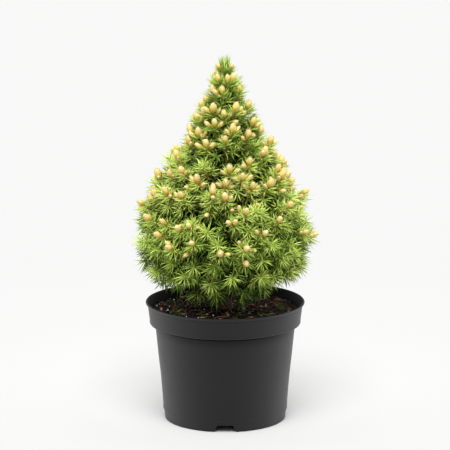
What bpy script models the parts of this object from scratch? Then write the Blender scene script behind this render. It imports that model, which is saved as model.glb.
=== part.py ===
"""Dwarf Alberta spruce in a two litre nursery pot, with its spring buds open.

Metres, +Z up. The origin is the centre of the pot's flat underside, and -Y is the front.
The crown is a cone of tiers. A tier lies between two cones that rise outwards, as the boughs
do, and is shared out in equal sectors round the trunk. Each sector holds one mass of foliage:
a stem, a dense heart, and twigs that end in tufts of needles, most with a bud. The masses of
the three lowest tiers grow on boughs, and those above grow on the trunk.
"""

import math
import random

import bmesh
import bpy
from mathutils import Matrix, Vector, noise

GAP = 0.0003  # air between two pieces that meet
MERGE = 1e-6

# The pot: rim, band under the rim, tapering body and a foot that is set in a little.
POT_HEIGHT = 0.1290
RIM_RADIUS = 0.0850
BAND_TOP_RADIUS = 0.0826
BAND_FOOT_RADIUS = 0.0806
BAND_FOOT = 0.1030
BAND_UNDERSIDE = 0.0958
BODY_TOP_RADIUS = 0.0739
BODY_FOOT_RADIUS = 0.0668
FOOT_RADIUS = 0.0657
FOOT_HEIGHT = 0.0100
WALL = 0.0018
FLOOR_UNDERSIDE = 0.0030
FLOOR_TOP = 0.0052
FOOT_RING_INNER_RADIUS = 0.0550
POT_STEPS = 44

# Drain notches in the foot, one of them at the front.
NOTCHES = 4
NOTCH_HEIGHT = 0.0060
NOTCH_TOP_WIDTH = 0.0178
NOTCH_FOOT_WIDTH = 0.0230
NOTCH_INNER_RADIUS = 0.0480

# The potting mix fills the pot to a little under the rim.
SOIL_HEIGHT = 0.1200
SOIL_MOUND = 0.0012
SOIL_LUMP = 0.0011
SOIL_LUMP_SIZE = 0.017
SOIL_STEPS = 26
TRUNK_PAD_RADIUS = 0.0130

# The trunk stands on the mix and tapers to the leader, with a flare over its roots.
TRUNK_FOOT = SOIL_HEIGHT + SOIL_MOUND + GAP
TRUNK_TIP = 0.3600
TRUNK_FOOT_RADIUS = 0.0052
TRUNK_TIP_RADIUS = 0.0011
FLARE = 0.0034
FLARE_HEIGHT = 0.012
TRUNK_BEND = 0.0010
TRUNK_RINGS = 13
TRUNK_SIDES = 8

# The crown's outline: (height, radius to the needle tips), from the foot to the leader's top.
CROWN = (
    (0.134, 0.048),
    (0.147, 0.067),
    (0.165, 0.087),
    (0.190, 0.098),
    (0.222, 0.098),
    (0.285, 0.060),
    (0.330, 0.037),
    (0.397, 0.004),
)
# How steeply a shoot rises, in degrees, by the height of its tip.
RISE = ((0.130, -16), (0.170, 0), (0.220, 20), (0.280, 40), (0.330, 52), (0.380, 66))
# The share of shoots that end in an open bud, by the height of their tip.
BUDS = ((0.160, 0.0), (0.190, 0.25), (0.215, 0.6), (0.250, 0.95), (0.397, 1.0))

# The tiers from the foot up: name, number of masses, turn of the first in degrees, height at
# which the tier's floor meets the crown's outline, and the slope of that floor.
TIERS = (
    ("skirt", 6, 270, 0.1335, 0.0),
    ("low", 7, 244, 0.160, 0.10),
    ("broad", 7, 270, 0.198, 0.28),
    ("middle", 6, 240, 0.238, 0.50),
    ("upper", 4, 270, 0.278, 0.75),
    ("high", 3, 330, 0.316, 1.0),
    ("crest", 2, 270, 0.350, 1.4),
    ("leader", 1, 270, 0.383, 2.4),
)
CROWN_TOP = (0.410, 2.4)  # the leader's ceiling, which lies clear above it
LEADER_END = 0.3905
ROWS = (0.24, 0.69)  # how high in its tier each row of shoots ends
STEEP_ROWS = (0.20, 0.60)  # the same for the steep tiers, from the high tier up
FIRST_STEEP_TIER = 5
COLUMNS = 3
SKIRT_UPPER_COLUMNS = 2
SPREAD = 0.92  # how near to its sector's sides the outer shoots of a row end
BOUGHED_TIERS = 3
BOUGH_REACH = (0.022, 0.034, 0.032)  # how far out a bough runs before it enters its mass
BOUGH_SIDES = 5
BOUGH_RADII = ((0.0021, 0.0014), (0.0026, 0.0017), (0.0024, 0.0015))

CELL_MARGIN = 0.0009
TIP_INSET = 0.0065  # needles reach this far past the end of the shoot they stand on
HEART_INSET = 0.0185
HEART_MARGIN = 0.0014
HEART_DOME = (0.0, 0.20, 0.42)  # how far in the middle, edges and corners of its outer side are
HEART_NEEDLE = 0.0090

# A shoot: (distance past its tip, radius) along its spindle, after the root.
BARE_SHOOT = ((-0.0105, 0.0019), (-0.0040, 0.0022), (0.0008, 0.0))
BUDDED_SHOOT = ((-0.0110, 0.0019), (-0.0042, 0.0022), (0.0036, 0.0033), (0.0100, 0.0))
SHOOT_SIDES = 4
NEEDLE = 0.0112
TIP_NEEDLE = 0.0088
NEEDLE_LEAN, TIP_NEEDLE_LEAN = 0.62, 1.5  # forward for each unit outward


def between(points, at):
    """The value at a place on a line through (place, value) points, level past its ends."""
    if at <= points[0][0]:
        return points[0][1]
    for (low, first), (high, second) in zip(points, points[1:]):
        if at <= high:
            return first + (second - first) * (at - low) / (high - low)
    return points[-1][1]


def around(angle, radius, height):
    return Vector((radius * math.cos(angle), radius * math.sin(angle), height))


# Materials


def finish(name, colour, roughness):
    material = bpy.data.materials.new(name)
    material.use_nodes = True
    shader = material.node_tree.nodes["Principled BSDF"]
    shader.inputs["Base Color"].default_value = (*colour, 1.0)
    shader.inputs["Roughness"].default_value = roughness
    shader.inputs["Metallic"].default_value = 0.0
    return material


def black_plastic():
    return finish("black_plastic", (0.035, 0.034, 0.034), 0.55)


def dark_mix():
    return finish("dark_mix", (0.030, 0.018, 0.010), 0.95)


def spruce_bark():
    return finish("spruce_bark", (0.150, 0.085, 0.045), 0.85)


def needle_green(share):
    """Needles are a yellower green towards the foot of the crown, where share is 0."""
    return finish("needle_green", (0.30 - 0.12 * share, 0.42 - 0.10 * share, 0.07), 0.55)


# Mesh helpers


def place(name, bm, material=None):
    """A linked object made from a closed bmesh, which is freed. Its faces point outwards."""
    bmesh.ops.recalc_face_normals(bm, faces=bm.faces)
    if bm.calc_volume(signed=True) < 0:
        bmesh.ops.reverse_faces(bm, faces=bm.faces)
    mesh = bpy.data.meshes.new(name)
    bm.to_mesh(mesh)
    bm.free()
    obj = bpy.data.objects.new(name, mesh)
    bpy.context.scene.collection.objects.link(obj)
    if material:
        mesh.materials.append(material)
    return obj


def turned(profile, steps):
    """A bmesh turned round Z from (radius, height) points that start and end on the axis."""
    bm = bmesh.new()
    points = [bm.verts.new((radius, 0.0, height)) for radius, height in profile]
    edges = [bm.edges.new(pair) for pair in zip(points, points[1:])]
    bmesh.ops.spin(
        bm,
        geom=points + edges,
        cent=(0, 0, 0),
        axis=(0, 0, 1),
        angle=2 * math.pi,
        steps=steps,
        use_merge=True,
    )
    bmesh.ops.remove_doubles(bm, verts=bm.verts, dist=MERGE)
    return bm


def square_to(direction):
    """Two unit vectors square to a direction and to each other."""
    helper = Vector((0, 0, 1)) if abs(direction.z) < 0.9 else Vector((1, 0, 0))
    side = direction.cross(helper).normalized()
    return side, direction.cross(side).normalized()


def limb(stations, sides):
    """A closed bmesh through (centre, normal of the ring, radius) stations."""
    bm = bmesh.new()
    rings = []
    for centre, normal, radius in stations:
        side, up = square_to(normal)
        turns = [2 * math.pi * k / sides for k in range(sides)]
        offsets = [side * math.cos(turn) + up * math.sin(turn) for turn in turns]
        rings.append([bm.verts.new(centre + offset * radius) for offset in offsets])
    for first, second in zip(rings, rings[1:]):
        for k in range(sides):
            after = (k + 1) % sides
            bm.faces.new((first[k], first[after], second[after], second[k]))
    bm.faces.new(rings[0])
    bm.faces.new(rings[-1])
    return bm


def spindle(stations, sides):
    """Points and triangles of a closed spindle through (centre, direction, radius) stations.

    Its rings turn by half a side from one to the next, and it ends in points of no radius. Each
    triangle comes with the number of the span between stations that it lies in, and with
    whether two of its corners lie on the span's first ring.
    """
    rings = []
    points = []
    for number, (centre, direction, radius) in enumerate(stations):
        side, up = square_to(direction)
        count = sides if radius else 1
        rings.append(list(range(len(points), len(points) + count)))
        for k in range(count):
            turn = 2 * math.pi * (k + number / 2) / sides
            points.append(centre + (side * math.cos(turn) + up * math.sin(turn)) * radius)
    faces = []
    for span, (lower, upper) in enumerate(zip(rings, rings[1:])):
        for k in range(sides):
            after = (k + 1) % sides
            if len(lower) > 1:
                faces.append((span, True, (lower[k], lower[after], upper[k % len(upper)])))
            if len(upper) > 1:
                faces.append((span, False, (upper[after], upper[k], lower[after % len(lower)])))
    return points, faces


def solid_from(points, triangles):
    bm = bmesh.new()
    verts = [bm.verts.new(point) for point in points]
    for triangle in triangles:
        bm.faces.new([verts[k] for k in triangle])
    return bm


def fused(name, shells, material):
    """One object from overlapping closed shells: their union, without its scraps and hollows."""
    first = place(name, shells[0], material)
    others = bpy.data.collections.new(name + "_parts")
    bpy.context.scene.collection.children.link(others)
    for shell in shells[1:]:
        part = place(name + "_part", shell)
        bpy.context.scene.collection.objects.unlink(part)
        others.objects.link(part)
    union = first.modifiers.new("union", "BOOLEAN")
    union.operation = "UNION"
    union.operand_type = "COLLECTION"
    union.collection = others
    union.solver = "MANIFOLD"
    bpy.context.view_layer.update()
    graph = bpy.context.evaluated_depsgraph_get()
    joined = bpy.data.meshes.new_from_object(first.evaluated_get(graph))
    first.modifiers.clear()
    first.data = joined
    for part in list(others.objects):
        bpy.data.objects.remove(part)
    bpy.data.collections.remove(others)
    keep_largest_shell(joined)
    joined.materials.clear()
    joined.materials.append(material)
    return first


def keep_largest_shell(mesh):
    """Drops every connected shell but the largest: loose scraps, and the walls of hollows."""
    bm = bmesh.new()
    bm.from_mesh(mesh)
    unseen = set(bm.faces)
    shells = []
    while unseen:
        shell = [unseen.pop()]
        for face in shell:
            for edge in face.edges:
                for neighbour in edge.link_faces:
                    if neighbour in unseen:
                        unseen.remove(neighbour)
                        shell.append(neighbour)
        shells.append(shell)
    shells.sort(key=lambda shell: sum(face.calc_area() for face in shell))
    dropped = [face for shell in shells[:-1] for face in shell]
    bmesh.ops.delete(bm, geom=dropped, context="FACES")
    bm.to_mesh(mesh)
    bm.free()


# Pot and potting mix


def pot_outside():
    """The outer profile from the foot up to the top of the rim."""
    return (
        (FOOT_RADIUS - 0.0006, 0.0),
        (FOOT_RADIUS, 0.0008),
        (FOOT_RADIUS, FOOT_HEIGHT - 0.0008),
        (BODY_FOOT_RADIUS, FOOT_HEIGHT),
        (BODY_TOP_RADIUS, BAND_UNDERSIDE),
        (BAND_FOOT_RADIUS - 0.0018, BAND_UNDERSIDE + 0.0035),
        (BAND_FOOT_RADIUS, BAND_FOOT),
        (BAND_TOP_RADIUS, POT_HEIGHT - 0.0050),
        (RIM_RADIUS, POT_HEIGHT - 0.0036),
        (RIM_RADIUS, POT_HEIGHT - 0.0010),
        (RIM_RADIUS - 0.0010, POT_HEIGHT),
    )


def pot_inside():
    """The inner profile from the rim down to the floor."""
    return (
        (BAND_TOP_RADIUS, POT_HEIGHT),
        (BAND_TOP_RADIUS - WALL, POT_HEIGHT - 0.0030),
        (BAND_FOOT_RADIUS - WALL, BAND_FOOT),
        (BODY_TOP_RADIUS - WALL, BAND_UNDERSIDE + 0.0010),
        (BODY_FOOT_RADIUS - 2 * WALL, FLOOR_TOP),
    )


def notch_cutter():
    """Prisms that taper upwards, one for each drain notch."""
    bm = bmesh.new()
    below = -0.0010
    slope = (NOTCH_FOOT_WIDTH - NOTCH_TOP_WIDTH) / NOTCH_HEIGHT
    outline = (
        (-NOTCH_FOOT_WIDTH / 2 + slope * below / 2, below),
        (NOTCH_FOOT_WIDTH / 2 - slope * below / 2, below),
        (NOTCH_TOP_WIDTH / 2, NOTCH_HEIGHT),
        (-NOTCH_TOP_WIDTH / 2, NOTCH_HEIGHT),
    )
    for k in range(NOTCHES):
        turn = Matrix.Rotation(2 * math.pi * k / NOTCHES, 3, "Z")
        ends = []
        for reach in (NOTCH_INNER_RADIUS, RIM_RADIUS):
            ends.append([bm.verts.new(turn @ Vector((x, -reach, z))) for x, z in outline])
        bm.faces.new(ends[0])
        bm.faces.new(ends[1])
        for j in range(len(outline)):
            after = (j + 1) % len(outline)
            bm.faces.new((ends[0][j], ends[0][after], ends[1][after], ends[1][j]))
    cutter = place("notch_cutter", bm)
    cutter.hide_render = True
    cutter.display_type = "WIRE"
    return cutter


def make_pot():
    underside = (
        (0.0, FLOOR_UNDERSIDE),
        (FOOT_RING_INNER_RADIUS - 0.0010, FLOOR_UNDERSIDE),
        (FOOT_RING_INNER_RADIUS, 0.0),
    )
    profile = (*underside, *pot_outside(), *pot_inside(), (0.0, FLOOR_TOP))
    pot = place("pot", turned(profile, POT_STEPS), black_plastic())
    pot.data.shade_smooth()
    pot.data.set_sharp_from_angle(angle=math.radians(35))
    cut = pot.modifiers.new("drain_notches", "BOOLEAN")
    cut.operation = "DIFFERENCE"
    cut.object = notch_cutter()
    cut.solver = "EXACT"


def make_potting_mix():
    """The fill, clear of the pot's inner wall, with a lumpy top that is level round the trunk."""
    clear = 1.3 * GAP
    wall = [(radius - clear, height) for radius, height in reversed(pot_inside()[2:])]
    wall[0] = (wall[0][0], FLOOR_TOP + GAP)
    top_radius = between([(z, r) for r, z in reversed(pot_inside()[1:3])], SOIL_HEIGHT) - clear
    top_rings = [top_radius * share for share in (1.0, 0.80, 0.58, 0.36)]
    top = [(radius, SOIL_HEIGHT) for radius in (*top_rings, TRUNK_PAD_RADIUS, 0.0)]
    bm = turned(((0.0, FLOOR_TOP + GAP), *wall, *top), SOIL_STEPS)
    for vert in bm.verts:
        radius = vert.co.xy.length
        if vert.co.z > SOIL_HEIGHT - MERGE:
            rise = 1 - (radius / top_radius) ** 2
            lump = noise.noise(vert.co / SOIL_LUMP_SIZE) * SOIL_LUMP
            on_pad = radius < TRUNK_PAD_RADIUS + MERGE
            vert.co.z += SOIL_MOUND if on_pad else SOIL_MOUND * rise - abs(lump)
    mix = place("potting_mix", bm, dark_mix())
    mix.data.shade_smooth()


# Trunk and boughs


def trunk_centre(height):
    """The trunk bends once to the side and once back on its way up."""
    share = (height - TRUNK_FOOT) / (TRUNK_TIP - TRUNK_FOOT)
    sway = TRUNK_BEND * math.sin(2 * math.pi * share)
    return Vector((sway, 0.5 * sway, height))


def trunk_radius(height):
    """The trunk's largest radius at a height, flare included."""
    share = (height - TRUNK_FOOT) / (TRUNK_TIP - TRUNK_FOOT)
    taper = TRUNK_FOOT_RADIUS + (TRUNK_TIP_RADIUS - TRUNK_FOOT_RADIUS) * share
    return taper + FLARE * math.exp(-(height - TRUNK_FOOT) / FLARE_HEIGHT)


def trunk_clear(height):
    """The distance from the Z axis that is clear of the trunk at and above a height."""
    return trunk_radius(height) + 1.2 * TRUNK_BEND + GAP


def make_trunk():
    bm = bmesh.new()
    rings = []
    for number in range(TRUNK_RINGS):
        share = (number / (TRUNK_RINGS - 1)) ** 1.6
        height = TRUNK_FOOT + (TRUNK_TIP - TRUNK_FOOT) * share
        centre = trunk_centre(height)
        ring = []
        for k in range(TRUNK_SIDES):
            angle = 2 * math.pi * k / TRUNK_SIDES
            root = 0.5 - 0.5 * math.cos(4 * angle)
            flare = FLARE * math.exp(-(height - TRUNK_FOOT) / FLARE_HEIGHT)
            ring.append(bm.verts.new(centre + around(angle, trunk_radius(height) - flare * root * 0.45, 0)))
        rings.append(ring)
    for first, second in zip(rings, rings[1:]):
        for k in range(TRUNK_SIDES):
            after = (k + 1) % TRUNK_SIDES
            bm.faces.new((first[k], first[after], second[after], second[k]))
    bm.faces.new(rings[0])
    bm.faces.new(rings[-1])
    trunk = place("trunk", bm, spruce_bark())
    trunk.data.shade_smooth()
    trunk.data.set_sharp_from_angle(angle=math.radians(60))


# Crown


def crown_radius(height):
    return between(CROWN, height)


def floor_height(tier, radius):
    """The height of a tier's floor at a distance from the Z axis."""
    edge, slope = TIERS[tier][3:] if tier < len(TIERS) else CROWN_TOP
    return edge + slope * (radius - crown_radius(edge))


class Cell:
    """The space of one mass: a sector of one tier, clear of the trunk and of its own bough."""

    def __init__(self, tier, index):
        name, count, first_turn = TIERS[tier][:3]
        self.tier = tier
        self.name = f"{name}_mass_{index + 1}" if count > 1 else f"{name}_mass"
        self.bough_name = f"{name}_bough_{index + 1}"
        self.turn = math.radians(first_turn) + 2 * math.pi * index / count
        self.half = math.pi / count
        self.boughed = tier < BOUGHED_TIERS
        self.rule = random.Random(100 * tier + index)

    def inner_radius(self, height):
        if self.boughed:
            return BOUGH_REACH[self.tier]
        return trunk_clear(height) if height < TRUNK_TIP + GAP else -CELL_MARGIN

    def holds(self, point):
        radius = point.xy.length
        aside = math.remainder(math.atan2(point.y, point.x) - self.turn, 2 * math.pi)
        in_sector = self.half > 3 or radius * math.sin(self.half - abs(aside)) >= CELL_MARGIN
        in_sector = in_sector and (self.half > 3 or abs(aside) < self.half)
        above = point.z >= floor_height(self.tier, radius) + CELL_MARGIN
        below = point.z <= floor_height(self.tier + 1, radius) - CELL_MARGIN
        outside = radius >= self.inner_radius(point.z) + CELL_MARGIN
        return in_sector and above and below and outside

    def at(self, across, up, out):
        """A point from shares of the heart: across and up from -1 to 1, and out from 0 to 1."""
        chord = math.cos(self.half / 2)
        edge = floor_edge(self.tier) + (0.5 + 0.5 * up) * self.height()
        reach = crown_radius(edge) - HEART_INSET
        inner = self.inner_radius(floor_height(self.tier, 0.01)) / chord + HEART_MARGIN
        radius = inner + max(reach - inner, 0.004) * out
        low = floor_height(self.tier, radius) + HEART_MARGIN
        high = floor_height(self.tier + 1, radius * chord) - HEART_MARGIN
        side = self.half - math.asin(min(HEART_MARGIN / radius, 0.5))
        return around(self.turn + across * side, radius, low + (high - low) * (0.5 + 0.5 * up))

    def height(self):
        return floor_edge(self.tier + 1) - floor_edge(self.tier)


def floor_edge(tier):
    return TIERS[tier][3] if tier < len(TIERS) else CROWN_TOP[0]


class Shoot:
    """A main shoot: the point where its wood ends, the way it points, and whether it has a bud."""

    def __init__(self, tip, direction, has_bud):
        self.tip = tip
        self.direction = direction
        self.has_bud = has_bud


def shoots_of(cell):
    """The main shoots of a mass, in rows that follow the crown's outline."""
    if cell.tier == len(TIERS) - 1:
        return leader_shoots()
    low, high = floor_edge(cell.tier), floor_edge(cell.tier + 1)
    shoots = []
    for row, share in enumerate(STEEP_ROWS if cell.tier >= FIRST_STEEP_TIER else ROWS):
        columns = SKIRT_UPPER_COLUMNS if row and cell.tier == 0 else COLUMNS
        for column in range(columns):
            across = ((2 * column + 1) / columns - 1) * SPREAD + (0.05 if row else -0.05)
            across += cell.rule.uniform(-0.04, 0.04)
            height = low + (high - low) * (share + cell.rule.uniform(-0.05, 0.05))
            angle = cell.turn + across * cell.half
            inset = TIP_INSET + cell.rule.uniform(-0.001, 0.003)
            rise = math.radians(between(RISE, height) + cell.rule.uniform(-8, 8))
            facing = angle + cell.rule.uniform(-0.15, 0.15)
            direction = around(facing, math.cos(rise), math.sin(rise))
            has_bud = cell.rule.random() < between(BUDS, height)
            tip = around(angle, crown_radius(height) - inset, height)
            shoots.append(Shoot(tip, direction, has_bud))
    return shoots


def leader_shoots():
    """The leader's whorl of needles, with a bud on each side of it."""
    shoots = [Shoot(Vector((0, 0, LEADER_END)), Vector((0, 0, 1)), False)]
    for side in (-1, 1):
        direction = Vector((0.45 * side, -0.1, 1)).normalized()
        shoots.append(Shoot(Vector((0.0048 * side, -0.001, 0.3815)), direction, True))
    return shoots


def shoot_shell(cell, root, shoot):
    """A shoot from its root deep in the mass: its wood, its needles, and its bud if it has one.

    It is a spindle whose facets near the end are drawn out into needles, and None where the
    spindle would leave its cell. A needle that would leave the cell isn't drawn out.
    """
    stations = [(root, shoot.direction, 0.0)]
    for along, radius in BUDDED_SHOOT if shoot.has_bud else BARE_SHOOT:
        stations.append((shoot.tip + shoot.direction * along, shoot.direction, radius))
    points, faces = spindle(stations, SHOOT_SIDES)
    if not all(cell.holds(point) for point in points[1:]):
        return None
    triangles = []
    for span, on_first_ring, corners in faces:
        centre = sum((points[k] for k in corners), Vector()) / 3
        outward = centre - shoot.tip
        outward = (outward - shoot.direction * outward.dot(shoot.direction)).normalized()
        lean, length = (NEEDLE_LEAN, NEEDLE) if span == 1 else (TIP_NEEDLE_LEAN, TIP_NEEDLE)
        length *= cell.rule.uniform(0.88, 1.12)
        end = centre + (outward + shoot.direction * lean).normalized() * length
        has_needle = span == 1 or span == 2 and on_first_ring
        if not (has_needle and cell.holds(end) and cell.holds((centre + end) / 2)):
            triangles.append(corners)
            continue
        points.append(end)
        first, second, third = corners
        last = len(points) - 1
        triangles += [(first, second, last), (second, third, last), (third, first, last)]
    return solid_from(points, triangles)


def heart(cell):
    """The dense middle of a mass: domed on its outer side, where each facet is drawn to a point."""
    steps = (-1, 0, 1)
    inner, outer = {}, {}
    points = []
    for across in steps:
        for up in steps:
            out = 1.0 - HEART_DOME[abs(across) + abs(up)] + cell.rule.uniform(-0.04, 0.04)
            inner[across, up] = len(points)
            outer[across, up] = len(points) + 1
            points += [cell.at(across, up, 0), cell.at(across, up, out)]
    edge = [(-1, -1), (0, -1), (1, -1), (1, 0), (1, 1), (0, 1), (-1, 1), (-1, 0)]
    triangles = []
    for number, (here, after) in enumerate(zip(edge, edge[1:] + edge[:1])):
        triangles.append((inner[0, 0], inner[after], inner[here]))
        triangles.append((inner[here], inner[after], outer[here]))
        triangles.append((inner[after], outer[after], outer[here]))
        corners = (outer[here], outer[after], outer[0, 0])
        centre = sum((points[k] for k in corners), Vector()) / 3
        rise = math.radians(between(RISE, centre.z))
        out = around(math.atan2(centre.y, centre.x), math.cos(rise), math.sin(rise))
        end = centre + out * HEART_NEEDLE * cell.rule.uniform(0.7, 1.2)
        if number % 2 or not cell.holds(end):
            triangles.append(corners)
            continue
        points.append(end)
        last = len(points) - 1
        triangles += [(corners[k], corners[(k + 1) % 3], last) for k in range(3)]
    return solid_from(points, triangles)


def make_mass(cell, stem, green):
    """Fuses a mass from its stem, its heart and its shoots."""
    shells = [stem.shell]
    if cell.tier < len(TIERS) - 1:
        shells.append(heart(cell))
    shells += [shoot_shell(cell, stem.root, shoot) for shoot in shoots_of(cell)]
    fused(cell.name, [shell for shell in shells if shell], green)


class Stem:
    """The wood inside a mass, from where it meets its bough or the trunk."""

    def __init__(self, start, facing, end, radius):
        self.root = start.lerp(end, 0.85)
        way = (end - start).normalized()
        self.shell = limb(((start, facing, radius), (end, way, radius * 0.8)), 5)


def stem_on_trunk(cell):
    """A stem that starts in the upright plane that just clears the trunk."""
    if cell.tier == len(TIERS) - 1:
        start = trunk_centre(TRUNK_TIP) + Vector((0, 0, GAP))
        return Stem(start, Vector((0, 0, 1)), Vector((0, 0, 0.3700)), 0.0013)
    outward = around(cell.turn, 1, 0)
    clear = trunk_clear(floor_height(cell.tier, 0.01))
    start_height = (floor_height(cell.tier, clear) + floor_height(cell.tier + 1, clear)) / 2
    start = outward * clear + Vector((0, 0, start_height))
    return Stem(start, outward, cell.at(0, 0, 0.3), 0.0016)


def bough_line(cell):
    """The ends of a bough: one clear of the trunk, the other where its mass begins."""
    reach = BOUGH_REACH[cell.tier]
    end = around(cell.turn, reach, cell.at(0, 0, 0).z)
    slope = math.tan(math.radians(between(RISE, end.z)) + 0.25)
    start_height = max(end.z - slope * reach, TRUNK_FOOT + 0.004)
    thick = BOUGH_RADII[cell.tier][0]
    clear = trunk_clear(start_height - thick)
    return around(cell.turn, clear, start_height), end


def make_bough(cell, bark):
    start, end = bough_line(cell)
    outward = around(cell.turn, 1, 0)
    thick, thin = BOUGH_RADII[cell.tier]
    sag = Vector((0, 0, -0.0012))
    stations = [(start, outward, thick)]
    stations.append((start.lerp(end, 0.5) + sag, outward, (thick + thin) / 2))
    stations.append((end, outward, thin))
    bough = place(cell.bough_name, limb(stations, BOUGH_SIDES), bark)
    bough.data.shade_smooth()
    bough.data.set_sharp_from_angle(angle=math.radians(75))
    return end, thin


def stem_on_bough(cell, bough_end, radius):
    outward = around(cell.turn, 1, 0)
    return Stem(bough_end + outward * GAP, outward, cell.at(0, 0, 0.3), radius)


def make_crown():
    bark = spruce_bark()
    for tier, (_, count, *_) in enumerate(TIERS):
        green = needle_green(tier / (len(TIERS) - 1))
        for index in range(count):
            cell = Cell(tier, index)
            if cell.boughed:
                stem = stem_on_bough(cell, *make_bough(cell, bark))
            else:
                stem = stem_on_trunk(cell)
            make_mass(cell, stem, green)


def main():
    for obj in list(bpy.data.objects):
        bpy.data.objects.remove(obj)
    make_pot()
    make_potting_mix()
    make_trunk()
    make_crown()


main()
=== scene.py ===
"""Looks of a dwarf Alberta spruce in a two litre nursery pot, with its spring buds open.

Metres, +Z up, -Y the front. The crown grows by the same rule as its solids: main shoots end on a
cone-shaped outline, tier by tier. Here each one is carried on to side shoots, needles and buds.
"""

import math
import random
from collections import namedtuple
from dataclasses import dataclass

import bmesh
import bpy
import numpy as np
from mathutils import Matrix, Vector, noise


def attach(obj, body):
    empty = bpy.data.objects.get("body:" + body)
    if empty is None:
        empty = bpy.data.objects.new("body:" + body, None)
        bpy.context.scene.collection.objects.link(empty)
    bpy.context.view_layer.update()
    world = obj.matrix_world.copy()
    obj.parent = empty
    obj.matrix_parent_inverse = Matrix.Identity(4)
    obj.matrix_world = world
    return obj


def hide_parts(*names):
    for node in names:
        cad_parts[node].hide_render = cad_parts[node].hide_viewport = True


BODY = "root"
UP = np.array((0.0, 0.0, 1.0))

# ---- sizes of the pot

# Outlines as (radius, height), from the middle of the underside round to the middle of the inside.
POT_UNDERSIDE = ((0.0, 0.0030), (0.0540, 0.0030), (0.0550, 0.0002), (0.0555, 0.0))
POT_WALL = (
    (0.0654, 0.0), (0.0660, 0.0004), (0.0662, 0.0012), (0.0665, 0.0092), (0.0667, 0.0098),
    (0.0675, 0.0101), (0.0677, 0.0108), (0.0679, 0.0190), (0.0700, 0.0460), (0.0729, 0.0730),
    (0.0752, 0.0965), (0.0759, 0.1030), (0.0761, 0.1043), (0.0766, 0.1048),
)
POT_BAND = (
    (0.0808, 0.1049), (0.0815, 0.1052), (0.0819, 0.1059), (0.0819, 0.1068), (0.0818, 0.1080),
    (0.0823, 0.1120), (0.0830, 0.1180), (0.0837, 0.1226), (0.0841, 0.1249),
)
POT_RIM = (
    (0.0841, 0.1256), (0.0845, 0.1261), (0.0854, 0.1264), (0.0859, 0.1269), (0.0861, 0.1276),
    (0.0859, 0.1283), (0.0855, 0.1288), (0.0851, 0.1290),
)
POT_INSIDE = (
    (0.0847, 0.1289), (0.0842, 0.1284), (0.0839, 0.1272), (0.0820, 0.1232), (0.0799, 0.1068),
    (0.0735, 0.1000), (0.0636, 0.0052), (0.0, 0.0052),
)
POT_STEPS = 176
POT_CREASE = 40  # edges sharper than this many degrees stay sharp
RIM_FOOT = 0.1280
LIP_CREST = 0.1284
FOOT_RING_OUTSIDE = 0.0650
BAND_FOOT = POT_BAND[0][1]
BAND_SHADE = 0.0140  # how far down the band shelters the wall

NOTCHES = 4
NOTCH_HEIGHT = 0.0070
NOTCH_TOP_WIDTH = 0.0174
NOTCH_FOOT_WIDTH = 0.0240
NOTCH_CORNER = 0.0006
NOTCH_ENDS = (0.0480, 0.0850)

# ---- sizes of the potting mix

SOIL_HEIGHT = 0.1200
SOIL_MOUND = 0.0012
SOIL_HOLE = 0.0005
SOIL_RADIUS = 0.0808
SOIL_WALL = ((0.0794, 0.1070), (0.0729, 0.1000), (0.0634, 0.0056))
SOIL_STEPS = 150
SOIL_RINGS = 58
SOIL_LEVEL = 0.006  # the mix is level round the trunk
SOIL_LUMPS = ((70.0, 0.0012), (190.0, 0.0011), (430.0, 0.0008), (900.0, 0.0004))  # (in a metre, height)
SOIL_LOWER = 0.0006  # how far the lumpy part lies below the level part

# What lies on the mix: how many, and between which radii.
CHIPS = 420
CHIP_RADII = (0.010, 0.0765)
CHIP_MIX = (0.40, 0.32, 0.20, 0.08)  # shares of dark, brown, red and tan
PERLITE = 70
PERLITE_RADII = (0.012, 0.0775)
FIBRES = 190
FIBRE_RADII = (0.012, 0.074)
FIBRE_STEPS = 7
MOSS_TUFTS = 26
MOSS_RADII = (0.028, 0.072)
MOSS_LIMIT = 0.0770

# ---- the plant's rule, as its solids

TRUNK_FOOT = 0.1215
TRUNK_TIP = 0.3600
TRUNK_FOOT_RADIUS = 0.0052
TRUNK_TIP_RADIUS = 0.0011
FLARE = 0.0034
FLARE_HEIGHT = 0.012
TRUNK_BEND = 0.0010

CROWN = (
    (0.134, 0.048), (0.147, 0.067), (0.165, 0.087), (0.190, 0.098),
    (0.222, 0.098), (0.285, 0.060), (0.330, 0.037), (0.397, 0.004),
)
CROWN_TOP = (0.410, 2.4)
# A tier's name, number of masses, first turn in degrees, and its floor's height and slope.
TIERS = (
    ("skirt", 6, 270, 0.1335, 0.0),
    ("low", 7, 244, 0.160, 0.10),
    ("broad", 7, 270, 0.198, 0.28),
    ("middle", 6, 240, 0.238, 0.50),
    ("upper", 4, 270, 0.278, 0.75),
    ("high", 3, 330, 0.316, 1.0),
    ("crest", 2, 270, 0.350, 1.4),
    ("leader", 1, 270, 0.383, 2.4),
)
LEADER = len(TIERS) - 1
FIRST_STEEP_TIER = 5
# By height: a shoot's rise in degrees, its further turn up at its end, and its chance of a bud.
RISE = ((0.130, -16), (0.170, 0), (0.220, 20), (0.280, 40), (0.330, 52), (0.380, 66))
LIFT = ((0.190, 2), (0.220, 18), (0.260, 32), (0.340, 24), (0.380, 6))
BUDS = ((0.180, 0.0), (0.200, 0.20), (0.225, 0.55), (0.255, 0.90), (0.397, 1.0))

HEART_DRAWS = 17  # a solid's heart draws so many numbers before its shoots do
ROWS = (0.24, 0.69)
STEEP_ROWS = (0.20, 0.60)
COLUMNS = 3
SKIRT_UPPER_COLUMNS = 2
SPREAD = 0.92
ROW_SHIFT = 0.05
TIP_INSET = 0.0072

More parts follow.
